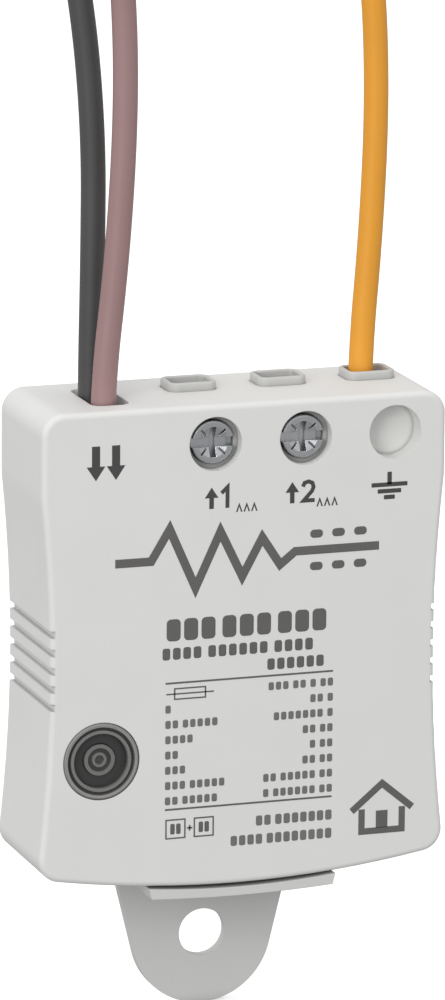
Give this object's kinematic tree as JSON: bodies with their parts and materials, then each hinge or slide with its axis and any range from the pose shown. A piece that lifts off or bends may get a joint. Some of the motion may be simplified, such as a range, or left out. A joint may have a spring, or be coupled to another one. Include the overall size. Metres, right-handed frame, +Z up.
{
  "type": "whole house surge protector",
  "caption": "Flat surge protector module with a mounting lug, supply and earth leads, screw clamp outputs and a round status indicator.",
  "frame": {"origin": "centre of the mounting lug's hole on the wall face", "axes": "+X to the right seen from the front, +Y into the wall, +Z up towards the leads; the front face looks along -Y"},
  "size_m": [0.0622, 0.0168, 0.1841],
  "materials": {
    "shell_plastic": "fine matt moulding",
    "base_plastic": "fine matt moulding",
    "block_plastic": "fine matt moulding",
    "dark_plastic": "satin",
    "lens_plastic": "smoked",
    "natural_plastic": "matt",
    "zinc_steel": "zinc plated",
    "spring_steel": "bare",
    "tinned_copper": "tinned",
    "bare_copper": "bright strands",
    "board_laminate": "solder mask",
    "fish_paper": "matt",
    "varistor_epoxy": "dipped coating",
    "fuse_ceramic": "matt",
    "tube_ceramic": "glazed",
    "capacitor_case": "matt",
    "resistor_body": "lacquer",
    "diode_body": "moulded",
    "lamp_epoxy": "clear tinted",
    "pvc_black": "satin",
    "pvc_brown": "satin",
    "pvc_yellow": "satin"
  },
  "bodies": {
    "housing": {"front_cover": "shell_plastic", "rear_base": "base_plastic", "mounting_lug": "base_plastic", "bottom_flange": "base_plastic", "terminal_block_1": "block_plastic", "terminal_block_2": "block_plastic", "earth_entry": "block_plastic", "contact_bar_1": "tinned_copper", "contact_bar_2": "tinned_copper", "strain_relief": "natural_plastic", "varistor_1": "varistor_epoxy", "varistor_2": "varistor_epoxy", "thermal_fuse_1": "fuse_ceramic", "thermal_fuse_2": "fuse_ceramic", "gas_tube": "tube_ceramic", "board_resistors": "resistor_body", "board_diode": "diode_body", "film_capacitor": "capacitor_case", "indicator_bezel": "dark_plastic", "indicator_lens": "lens_plastic", "indicator_clip": "spring_steel", "status_lamp": "lamp_epoxy", "lead_black": "pvc_black", "lead_brown": "pvc_brown", "lead_earth": "pvc_yellow", "core_inner_black": "bare_copper", "core_inner_brown": "bare_copper", "core_inner_earth": "bare_copper", "core_outer_black": "bare_copper", "core_outer_brown": "bare_copper", "core_outer_earth": "bare_copper", "circuit_board": "board_laminate", "insulating_sheet": "fish_paper", "cover_screws": "zinc_steel", "board_screws": "zinc_steel"},
    "screw_1": {"clamp_screw_1": "zinc_steel"},
    "screw_2": {"clamp_screw_2": "zinc_steel"},
    "cage_1": {"clamp_cage_1": "zinc_steel"},
    "cage_2": {"clamp_cage_2": "zinc_steel"}
  },
  "joints": [
    {"name": "cage_1_rise", "type": "slide", "parent": "housing", "child": "cage_1", "axis": [0, -1, 0], "range_m": [0, 0.003]},
    {"name": "screw_1_turn", "type": "hinge", "parent": "housing", "child": "screw_1", "pos_m": [-0.00385, -0.0145, 0.06524], "axis": [0, 1, 0], "range_deg": [0, 1800]},
    {"name": "cage_2_rise", "type": "slide", "parent": "housing", "child": "cage_2", "axis": [0, -1, 0], "range_m": [0, 0.003]},
    {"name": "screw_2_turn", "type": "hinge", "parent": "housing", "child": "screw_2", "pos_m": [0.00755, -0.0145, 0.06524], "axis": [0, 1, 0], "range_deg": [0, 1800]}
  ],
  "couplings": [
    {"joint": "screw_1_turn", "follows": "cage_1_rise", "rad_per_m": 10471},
    {"joint": "screw_2_turn", "follows": "cage_2_rise", "rad_per_m": 10471}
  ]
}
